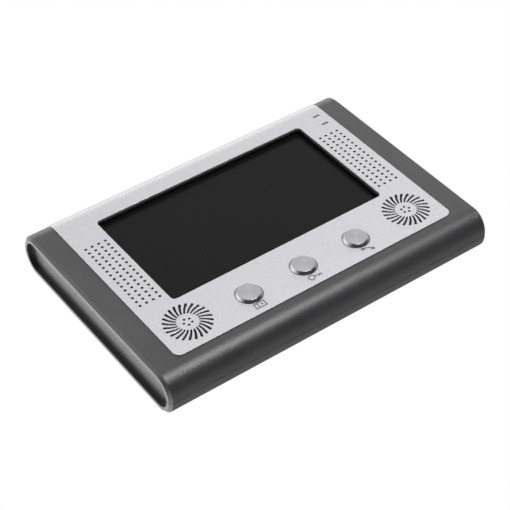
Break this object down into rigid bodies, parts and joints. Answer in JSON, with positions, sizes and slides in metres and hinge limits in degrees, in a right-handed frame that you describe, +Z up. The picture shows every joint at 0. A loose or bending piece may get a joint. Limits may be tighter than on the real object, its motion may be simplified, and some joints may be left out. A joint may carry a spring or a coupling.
{
  "type": "video intercom monitor",
  "caption": "Wall-hung video intercom monitor with a recessed screen, silver front panel, round push buttons, swirl and dot sound grilles, edge dials and a hooked steel wall bracket.",
  "frame": {"origin": "wall face of the bracket, at the centre of its screw pattern", "axes": "+X right seen from the front, +Z up, -Y towards the user, wall plane at Y = 0"},
  "size_m": [0.232, 0.0423, 0.1616],
  "materials": {
    "bracket_steel": "satin",
    "case_plastic": "matte, fine grain",
    "frame_plastic": "matte, fine grain",
    "panel_aluminium": "silver, fine grain",
    "tinned_steel": "satin",
    "screen_glass": "gloss",
    "white_plastic": "satin",
    "black_foam": "matte",
    "ribbon_film": "satin",
    "circuit_board": "satin",
    "chip_epoxy": "matte",
    "capacitor_can": "satin",
    "switch_plastic": "satin",
    "lamp_plastic": "gloss",
    "indicator_plastic": "gloss",
    "magnet": "matte",
    "speaker_cone": "matte",
    "boot_rubber": "matte",
    "dust_cloth": "matte",
    "button_metal": "spun",
    "mark_ink": "matte",
    "wheel_plastic": "satin",
    "screw_steel": "black zinc",
    "seal_paper": "matte",
    "sticker_paper": "satin"
  },
  "bodies": {
    "bracket": {"wall_bracket": "bracket_steel"},
    "monitor": {"backlight": "white_plastic", "board_capacitors": "capacitor_can", "board_chips": "chip_epoxy", "board_screws": "screw_steel", "button_board": "circuit_board", "button_marks": "mark_ink", "button_switches": "switch_plastic", "case_screws": "screw_steel", "corner_sticker": "sticker_paper", "dust_cloths": "dust_cloth", "front_frame": "frame_plastic", "front_panel": "panel_aluminium", "indicator_board": "circuit_board", "indicator_lamps": "lamp_plastic", "indicator_lenses": "indicator_plastic", "main_board": "circuit_board", "microphone": "capacitor_can", "microphone_boot": "boot_rubber", "power_pin": "tinned_steel", "power_socket": "switch_plastic", "power_switch": "tinned_steel", "rear_case": "case_plastic", "ribbon_connector": "white_plastic", "screen_bezel": "tinned_steel", "screen_gasket": "black_foam", "screen_glass": "screen_glass", "screen_ribbon": "ribbon_film", "screen_straps": "tinned_steel", "seal_disc": "seal_paper", "side_board": "circuit_board", "speaker_basket": "tinned_steel", "speaker_cone": "speaker_cone", "speaker_gasket": "black_foam", "speaker_magnet": "magnet", "speaker_retainer": "switch_plastic", "terminal_pins": "tinned_steel", "terminal_sockets": "white_plastic", "wheel_pots": "switch_plastic"},
    "monitor_key": {"monitor_button": "button_metal"},
    "unlock_key": {"unlock_button": "button_metal"},
    "talk_key": {"talk_button": "button_metal"},
    "brightness_dial": {"brightness_wheel": "wheel_plastic"},
    "contrast_dial": {"contrast_wheel": "wheel_plastic"},
    "volume_dial": {"volume_wheel": "wheel_plastic"},
    "power_slider": {"switch_knob": "wheel_plastic"}
  },
  "joints": [
    {"name": "monitor_lift", "type": "slide", "parent": "bracket", "child": "monitor", "axis": [0, 0, 1], "range_m": [0, 0.01]},
    {"name": "monitor_key_press", "type": "slide", "parent": "monitor", "child": "monitor_key", "axis": [0, 1, 0], "range_m": [0, 0.0006], "stiffness_N_per_m": 1200, "springref_m": -0.0003},
    {"name": "unlock_key_press", "type": "slide", "parent": "monitor", "child": "unlock_key", "axis": [0, 1, 0], "range_m": [0, 0.0006], "stiffness_N_per_m": 1200, "springref_m": -0.0003},
    {"name": "talk_key_press", "type": "slide", "parent": "monitor", "child": "talk_key", "axis": [0, 1, 0], "range_m": [0, 0.0006], "stiffness_N_per_m": 1200, "springref_m": -0.0003},
    {"name": "brightness_dial_turn", "type": "hinge", "parent": "monitor", "child": "brightness_dial", "pos_m": [0.1039, -0.02545, 0.0256], "axis": [0, -1, 0], "range_deg": [-135, 135]},
    {"name": "contrast_dial_turn", "type": "hinge", "parent": "monitor", "child": "contrast_dial", "pos_m": [0.1039, -0.02545, 0.0032], "axis": [0, -1, 0], "range_deg": [-135, 135]},
    {"name": "volume_dial_turn", "type": "hinge", "parent": "monitor", "child": "volume_dial", "pos_m": [0.1039, -0.02545, -0.0192], "axis": [0, -1, 0], "range_deg": [-135, 135]},
    {"name": "power_slider_slide", "type": "slide", "parent": "monitor", "child": "power_slider", "axis": [0, 0, -1], "range_m": [0, 0.0022]}
  ]
}
